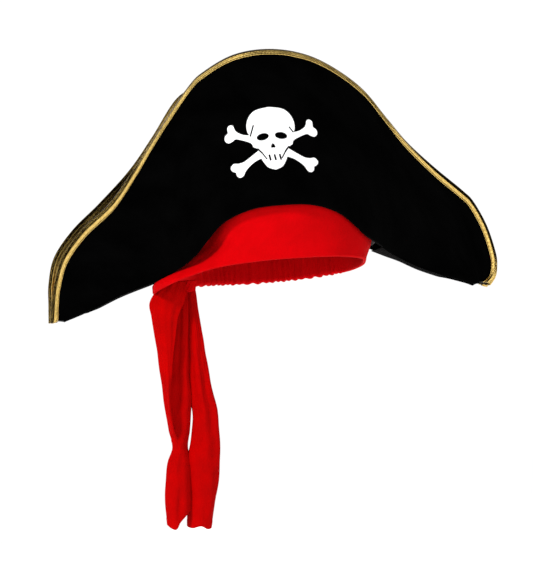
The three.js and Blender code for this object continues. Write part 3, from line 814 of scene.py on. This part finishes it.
def ring_point(angle, z, inset):
    taper = (np.maximum(0, z - CROWN_TAPERS_ABOVE) / (CROWN_HEIGHT - CROWN_TAPERS_ABOVE)) ** 2
    lowness = smoothstep((FLARE_TOP - z) / (FLARE_TOP - FLARE_FULL))
    out = FLARE * flare_share(angle) * lowness
    x = (HEAD_X - (HEAD_X - CROWN_TOP_X) * taper - inset + out) * np.cos(angle)
    y = (HEAD_Y - (HEAD_Y - CROWN_TOP_Y) * taper - inset + out) * np.sin(angle)
    return joined(x, y, z)


def crown_wall(word, start, end):
    """Half of the crown's wall: soft cloth that buckles a little above the bandana."""
    angle = np.linspace(start, end, 141)[:, None]
    low = crown_edge(angle)
    z = low + (CROWN_HEIGHT - low) * np.linspace(0, 1, 41)[None, :]
    loose = smoothstep((z - low - 16 * MM) / (20 * MM)) * smoothstep((CROWN_HEIGHT - z) / (12 * MM))
    folds = waves(angle, z, *CROWN_BUCKLES) / sum(height for height, *_ in CROWN_BUCKLES)
    inset = 0.6 * MM + 0.9 * MM * loose * (1 + folds)
    facts = {"replaces": [f"crown_{word}"], "slot": "crown_cloth"}
    cloth(f"{word}_crown_cloth", ring_point(angle, z, inset), CROWN_THICKNESS, CROWN_FELT, **facts)


def crown_top():
    """The crown's domed top: two layers of rings, from the middle out and back again."""
    turns = np.linspace(0, 2 * np.pi, 145)[:, None]
    profile = spline(TOP_PROFILE, 6)
    reach, rise = profile[:, 0][None, :], profile[:, 1][None, :] * MM
    dent = 0.8 * MM * reach * (1 - reach) * 4 * waves(turns, reach, *TOP_BUCKLES)
    x, y = CROWN_TOP_X * reach * np.cos(turns), CROWN_TOP_Y * reach * np.sin(turns)
    middle = joined(x, y, CROWN_HEIGHT + TOP_LIFT + rise + dent)
    normals = grid_normals(middle)[:-1]
    middle = middle[:-1]
    half = normals * np.sign(normals[..., 2:3]) * CROWN_THICKNESS / 2
    rings = np.concatenate([(middle + half)[:, ::-1], middle - half], axis=1).swapaxes(0, 1)
    facts = {"replaces": ["crown_top"], "slot": "crown_cloth"}
    loft("crown_top_cloth", rings, rings[..., :2], CROWN_FELT, **facts)


BAND_INSET = 2.5 * MM  # of the bandana's outer cloth
BAND_THICKNESS = 1.1 * MM
BAND_RETURN = 19 * MM  # of the hem turned up inside
BAND_UNDER_CROWN = 12 * MM  # sewn up past the crown's lower edge
HEM_GAP, GATHERED_GAP = 0.9 * MM, 2.6 * MM  # between the hem's two layers, and added along the elastic
BAND_WAVES = [(1, 5, 60, 0), (1, 11, -45, 1)]  # round the head, and up it
PUCKER, WIDE_PUCKER = 1.15 * MM, 2.1 * MM  # the gathers' spacings, over 2 pi
TUCK = 9 * MM  # how far its lower edge is drawn in at the wearer's left
RECESS, RECESS_ANGLE, RECESS_WIDTH = 15 * MM, 0.62, 0.32  # drawn in under the brim, beside the tails
ELASTIC_REACH = 0.9  # radians each side of the middle of the back
PULLS = [(0.22, 0.07, 1.5), (0.42, 0.08, 1.2), (0.66, 0.1, 0.8)]  # direction, width and height in millimetres


def gather_share(angle):
    """1 along the elastic, 0 beyond it."""
    return smoothstep((ELASTIC_REACH + 0.12 - np.abs(angle - np.pi / 2)) / 0.24)


def band_relief(angle, z):
    """How far the bandana's cloth stands out: pulls that fan from the tails, and slight waves."""
    around = np.abs(angle - np.pi) * HEAD_X
    rise = z + 8 * MM
    heading = np.arctan2(rise, around + 6 * MM)
    reach = np.hypot(around, rise)
    fan = sum(height * np.exp(-(((heading - turn) / width) ** 2)) for turn, width, height in PULLS) * MM
    fan = fan * smoothstep(reach / (30 * MM)) * smoothstep((140 * MM - reach) / (80 * MM))
    below_crown = smoothstep((crown_edge(angle) - 2 * MM - z) / (12 * MM))
    return (fan + 0.35 * MM * waves(angle, z, *BAND_WAVES)) * below_crown


def band_tuck(angle, z):
    """How far the bandana is drawn in, at the wearer's left and at the right."""
    left = TUCK * np.maximum(0, np.cos(angle)) ** 6 * smoothstep((26 * MM - z) / (30 * MM))
    beside = np.exp(-(((angle - np.pi - RECESS_ANGLE) / RECESS_WIDTH) ** 2))
    return left + RECESS * beside * smoothstep((z + 2 * MM) / (26 * MM))


def bandana(word, start, end):
    """Half of the bandana: the hem turned up inside, round the fold, and up the outside."""
    angle = np.linspace(start, end, 261)[:, None]
    low, high = hem_height(angle), crown_edge(angle) + BAND_UNDER_CROWN
    gathered = gather_share(angle)
    radius = (HEM_GAP + GATHERED_GAP * gathered + BAND_THICKNESS) / 2
    fold_z = low + radius
    inside_rows = np.linspace(1, 0, 14, endpoint=False)[None, :]
    turn = np.linspace(-np.pi / 2, np.pi / 2, 9)[None, :]
    outside_rows = np.linspace(0, 1, 61)[None, 1:] ** 1.15
    heights = [
        fold_z + BAND_RETURN * inside_rows,
        fold_z - radius * np.cos(turn),
        fold_z + (high - fold_z) * outside_rows,
    ]
    insets = [2 * radius + 0 * inside_rows, radius * (1 - np.sin(turn)), 0 * radius * outside_rows]
    z, inset = np.concatenate(heights, axis=1), BAND_INSET + np.concatenate(insets, axis=1)
    pulled = gathered * smoothstep((50 * MM - z) / (30 * MM))
    around = angle * HEAD_X
    puckers = np.sin(around / PUCKER + 3 * np.sin(angle * 9)) + 0.5 * np.sin(around / WIDE_PUCKER + 40 * z)
    inset = inset + pulled * 0.75 * MM * puckers - band_relief(angle, z) + band_tuck(angle, z)
    z = z + pulled * 0.5 * MM * puckers * smoothstep((10 * MM - z) / (10 * MM))
    facts = {"replaces": [f"bandana_{word}"], "slot": "red_cloth"}
    piece = cloth(f"{word}_bandana_cloth", ring_point(angle, z, inset), BAND_THICKNESS, RED_BAND, **facts)


def back_elastic():
    angle = np.linspace(np.pi / 2 - ELASTIC_REACH, np.pi / 2 + ELASTIC_REACH, 161)[:, None]
    z = np.linspace(4, 16, 17)[None, :] * MM + 0 * angle
    inset = 4.1 * MM + 0.35 * MM * np.sin(angle * HEAD_X / (2 * PUCKER))
    facts = {"replaces": ["back_elastic"], "slot": "elastic"}
    cloth("back_elastic_strip", ring_point(angle, z, inset), 0.9 * MM, RIBBED, **facts)


# ---- Tails ----
TAIL_TOP = -3 * MM
TAIL_CLOTH = 0.9 * MM
# Cross-sections, seen from above, in millimetres: height, then the x and the y of each line that runs down
# the cloth. The outer tail's lines go from the hidden back layer, round the right fold, along the panel,
# round the left fold, and back along the pleat that lies on it.
OUTER_SECTIONS = [
    (-230, [-112, -103, -98, -101, -107, -112, -118.5, -117, -112, -108],
     [9, 10, 8, 0, -2, -2, 2, 5.5, 6.5, 6.5]),
    (-213, [-112, -102, -96.2, -101.5, -108, -113, -119.2, -117, -112, -108],
     [10, 11, 8.5, -1, -3, -2.5, 2, 6, 7, 7]),
    (-188, [-110, -100, -93.8, -99.5, -106, -111, -117.3, -114, -110, -106],
     [10, 11, 8.5, -2, -4, -3, 2, 6, 7, 7]),
    (-166, [-108, -100, -93.9, -98.5, -104, -108, -113, -111, -107, -104],
     [9, 10, 8, -1.5, -3.5, -3, 1.5, 5, 6, 6]),
    (-154, [-104, -99, -95.6, -98.5, -102, -105, -108.1, -107, -104, -101],
     [9, 9.5, 7, -0.5, -2, -2, 1, 4, 5, 5.5]),
    (-138, [-104, -97, -92.8, -96, -101, -106, -110.9, -109.8, -108, -106.5],
     [10, 10, 7, 2, 1.5, 0, 1, -3, -4.5, -3.5]),
    (-116, [-106, -96, -88.8, -92, -99, -106, -112.2, -111, -109.5, -108],
     [10, 10.5, 7.5, 3.5, 4.5, 3, 0, -4, -6, -4.5]),
    (-86, [-105, -95, -88, -91, -98, -106, -113.4, -111.5, -107.5, -104.4],
     [10, 10.5, 7, 3.8, 6, 5, 0, -4.4, -6.8, -5.2]),
    (-56, [-106, -95, -85.8, -89, -96, -107, -115.5, -112.5, -105, -98.8],
     [10, 10.5, 7, 4, 6.4, 5.4, 0, -4.6, -7.6, -5.4]),
    (-33, [-106, -95, -84, -86.5, -95, -108, -117.2, -113.5, -103, -93.2],
     [9.5, 10.5, 7, 4.6, 6.6, 5.4, 0, -4.6, -7.8, -5]),
    (-20, [-106, -95, -83.4, -85.4, -95, -108, -117.6, -113.5, -100, -86.5],
     [9, 10, 7, 4.8, 6, 5, 0.5, -4.2, -7.2, -4]),
    (-12, [-103, -94, -83.4, -85.6, -95, -105, -112.5, -109, -97, -84.2],
     [8, 9.5, 6.8, 4.6, 5.4, 4.6, 0.5, -3.8, -6, -3.4]),
    (-3, [-95, -91, -83.4, -86, -91, -97, -100.5, -98, -92, -84],
     [8, 8.5, 6.5, 3.8, 4.4, 3.8, 0.5, -3, -4.8, -2.6]),
]
OUTER_BOTTOM = [-219, -212, -208, -214, -220, -226, -221.5, -219, -218, -218]  # how low each line reaches
INNER_SECTIONS = [
    (-230, [-84, -93, -101.2, -97.5, -90, -84, -80.2, -83], [12, 12, 10.5, 2, 0.5, 2, 5, 9]),
    (-214, [-83, -92, -99.4, -95.5, -88, -81, -76.8, -79.5], [12, 12, 11, 1.5, -1, 1.5, 5, 9]),
    (-190, [-79, -88, -96.2, -92, -83, -76, -71, -74], [12, 12, 8, -0.5, -2.5, 1, 4.5, 9]),
    (-160, [-76, -86, -94.6, -90, -81, -73, -67, -70], [11.5, 11, 4.5, 0.5, -2.5, 1, 4.5, 8.5]),
    (-148, [-75, -83, -91.2, -87, -79, -72, -66.4, -69], [11, 11, 6, 2, -1.5, 1.5, 4.5, 8.5]),
    (-122, [-74, -81, -87.8, -84, -78, -71.5, -66, -68.5], [11, 11.5, 9, 4, -0.6, 1.8, 4.5, 8.5]),
    (-106, [-75, -81, -89.2, -85.2, -79, -73, -68.2, -70.5], [11, 12, 11.2, 5.5, 0.2, 2.4, 4.6, 8.5]),
    (-80, [-76, -81, -88.6, -84.4, -79.5, -75, -71, -73], [11, 12, 11.2, 5.8, 1, 3, 4.8, 8.5]),
    (-57, [-77, -80.5, -86.8, -83, -79.5, -76, -72.6, -74.4], [10.5, 11.5, 11, 6, 2, 3.4, 5, 8]),
    (-27, [-78, -80, -84.6, -81.6, -79.3, -77, -75, -76.4], [10, 11, 10.4, 6, 3.4, 4, 5.4, 7.8]),
    (-14, [-78, -80, -84.2, -81.4, -79.3, -77.4, -75.8, -76.8], [9.5, 10.5, 10, 6, 4, 4.4, 5.6, 7.6]),
    (-3, [-78.4, -79.6, -82.4, -80.8, -79.2, -77.8, -76.6, -77.4], [9, 9.5, 9.2, 6, 4.4, 4.6, 5.8, 7.4]),
]
INNER_BOTTOM = [-222, -221, -223.5, -226, -225, -228, -227, -224]
OUTER_FLAT, INNER_FLAT = (62 * MM, 220 * MM), (45 * MM, 222 * MM)
TAIL_HEM = 6 * MM
WRINKLE_SPAN = 200 * MM  # the length over which the wrinkles change from the gather's to the loose end's
FINE_WRINKLES, SOFT_WRINKLES, CROSS_WRINKLES = 0.6 * MM, 1.1 * MM, 0.224 * MM


def tail(body, sections, bottoms, turn, flat):
    """A folded strip of cloth that hangs from the gather."""
    lines = np.linspace(0, 1, 97)
    knots = np.linspace(0, 1, len(bottoms))
    bottom = between(lines, knots, bottoms) * MM
    heights = [height for height, _, _ in sections]
    at = np.stack([between(lines, knots, np.transpose([x, y])) for _, x, y in sections])
    down = np.linspace(0, 1, 171)[None, :]
    z = TAIL_TOP + (bottom[:, None] - TAIL_TOP) * down
    middle = np.zeros((*z.shape, 3))
    for line in range(len(lines)):
        middle[line, :, :2] = between(z[line] / MM, heights, at[:, line]) * MM
    middle[..., 2] = z
    depth, line = -z / WRINKLE_SPAN, lines[:, None]
    fine = np.sin(85 * line + 2 * np.sin(9 * depth)) * np.exp(-depth * 4)
    soft = waves(line, depth, (0.5, 14, 5, turn), (0.3, 31, -9, 2 * turn)) * smoothstep(depth * 2)
    cross = np.sin(38 * depth + 7 * np.sin(5 * line + turn)) * smoothstep((depth - 0.2) / 0.2)
    wrinkles = FINE_WRINKLES * fine + SOFT_WRINKLES * soft + CROSS_WRINKLES * cross
    middle = middle + grid_normals(middle) * wrinkles[..., None]
    thickness = TAIL_CLOTH * (1 + 0.5 * (down > 1 - TAIL_HEM / flat[1]))
    facts = {"body": None, "replaces": [body], "slot": "red_cloth"}
    # The tails use the darker copy of the red jersey, which carries painted shade.
    piece = cloth(f"{body}_cloth", middle, thickness, RED_TAIL_SHADED, **facts)
    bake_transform(piece)


GATHER_LEAN = 8 * MM  # from its foot to its head, towards the wearer's left
GATHER_INSET = 1 * MM  # of its foot and head from the CAD piece's


def tail_gather():
    """The pleated head of both tails, bunched and sewn inside the bandana."""
    low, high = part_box("tail_gather")
    middle = (low + high) / 2
    turns = np.linspace(0, 2 * np.pi, 120, endpoint=False)[None, :]
    rise = np.linspace(0, 1, 25)[:, None]
    pleats = 1 + 0.13 * np.sin(13 * turns + 2 * rise) * (0.4 + 0.6 * (1 - rise)) + 0.05 * np.sin(29 * turns)
    widen = 0.62 + 0.3 * (1 - rise) ** 1.5
    squeeze = np.where((rise < 0.06) | (rise > 0.94), 0.8, 1.0)
    reach = widen * squeeze * pleats
    half = (high - low) / 2
    x = middle.x + GATHER_LEAN * rise + half.x * 0.8 * reach * np.cos(turns)
    y = middle.y + half.y * 0.85 * reach * np.sin(turns)
    z = low.z + GATHER_INSET + (high.z - low.z - 2 * GATHER_INSET) * rise + 0 * turns
    rings = np.stack([x, y, z], -1)
    uv = joined(turns * half.y, z)
    loft("tail_pleats", rings, uv, RED_BAND, replaces=["tail_gather"], slot="red_cloth")


def build_soft_parts():
    crown_wall("front", -math.pi, 0)
    crown_wall("back", 0, math.pi)
    crown_top()
    bandana("front", math.pi, 2 * math.pi)
    bandana("back", 0, math.pi)
    back_elastic()
    tail_gather()
    tail("outer_tail", OUTER_SECTIONS, OUTER_BOTTOM, 0.4, OUTER_FLAT)
    tail("inner_tail", INNER_SECTIONS, INNER_BOTTOM, 2.1, INNER_FLAT)


# ---- Room ----
FLOOR_BELOW = 0.30  # from the tails' ends
FLOOR_HALF = 20
FLOOR_GLOW = 0.7
ROOM_BRIGHTNESS, SEEN_BRIGHTNESS = 2.0, 1.02  # as the hat is lit, and as the camera sees the background
SUNS = [("key", -48, 38, 2.6, 12), ("fill", 40, 8, 0.3, 50)]  # azimuth, elevation, strength, width


def build_room():
    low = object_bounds()[0][2] - FLOOR_BELOW
    corners = [(x * FLOOR_HALF, y * FLOOR_HALF, low) for x, y in ((-1, -1), (1, -1), (1, 1), (-1, 1))]
    mesh = bpy.data.meshes.new("floor")
    mesh.from_pydata(corners, [], [(0, 1, 2, 3)])
    material, tree, shader = principled(
        "pale_floor", Roughness=0.9, Specular_IOR_Level=0.0, Emission_Color=(1, 1, 1, 1),
        Emission_Strength=FLOOR_GLOW,
    )
    place = node(tree, "ShaderNodeTexCoord").outputs["Object"]
    paint(tree, shader, "Base Color", noise(tree, place, size=3.0), (0.3, 0.93), (0.7, 0.96))
    mesh.materials.append(material)
    floor = bpy.data.objects.new("floor", mesh)
    bpy.context.scene.collection.objects.link(floor)


def build_light():
    """Soft light from in front and behind, weaker overhead and from the sides, and a key sun and a fill."""
    world = bpy.data.worlds.new("studio")
    bpy.context.scene.world = world
    world.use_nodes = True
    tree = world.node_tree
    background = tree.nodes["Background"]
    place = node(tree, "ShaderNodeTexCoord").outputs["Generated"]
    parts = node(tree, "ShaderNodeSeparateXYZ", {"Vector": place}).outputs
    ahead = node(tree, "ShaderNodeMath", {0: parts["Y"]}, operation="ABSOLUTE").outputs[0]
    walls = ramp(tree, ahead, (0.0, 0.004), (0.52, 0.006), (0.68, 0.2), (0.86, 0.3), (0.96, 1.0))
    overhead = ramp(tree, parts["Z"], (0.0, 1.0), (0.35, 1.0), (0.7, 0.3), (1.0, 0.2))
    room = mix(tree, "MULTIPLY", walls, overhead, 1.0)
    leftwards = node(tree, "ShaderNodeMath", {0: parts["X"], 1: -1.0}, operation="MULTIPLY").outputs[0]
    strip = ramp(tree, ahead, (0.34, 0.0), (0.37, 1.0), (0.41, 1.0), (0.44, 0.0))
    strip = mix(tree, "MULTIPLY", strip, ramp(tree, leftwards, (0.3, 0.0), (0.45, 1.0)), 1.0)
    tree.links.new(mix(tree, "ADD", room, strip, 1.0), background.inputs["Color"])
    background.inputs["Strength"].default_value = ROOM_BRIGHTNESS
    plain = node(tree, "ShaderNodeBackground", {"Color": (1, 1, 1, 1), "Strength": SEEN_BRIGHTNESS})
    seen = node(tree, "ShaderNodeLightPath").outputs["Is Camera Ray"]
    both = node(tree, "ShaderNodeMixShader", {0: seen, 1: background.outputs[0], 2: plain.outputs[0]})
    tree.links.new(both.outputs[0], tree.nodes["World Output"].inputs["Surface"])
    for name, azimuth, elevation, strength, width in SUNS:
        lamp = bpy.data.lights.new(name, "SUN")
        lamp.energy = strength
        lamp.angle = math.radians(width)
        light = bpy.data.objects.new(name, lamp)
        light.visible_glossy = False
        light.rotation_euler = (math.radians(90 - elevation), 0, math.radians(azimuth))
        bpy.context.scene.collection.objects.link(light)
    bpy.context.scene.view_settings.view_transform = "Standard"


velour = build_brim()
for word, hand in (("right", -1), ("left", 1)):
    wing_gusset(word, hand)
    tip_tack(word)
lay_print(velour[FRONT])
build_soft_parts()
build_room()
build_light()
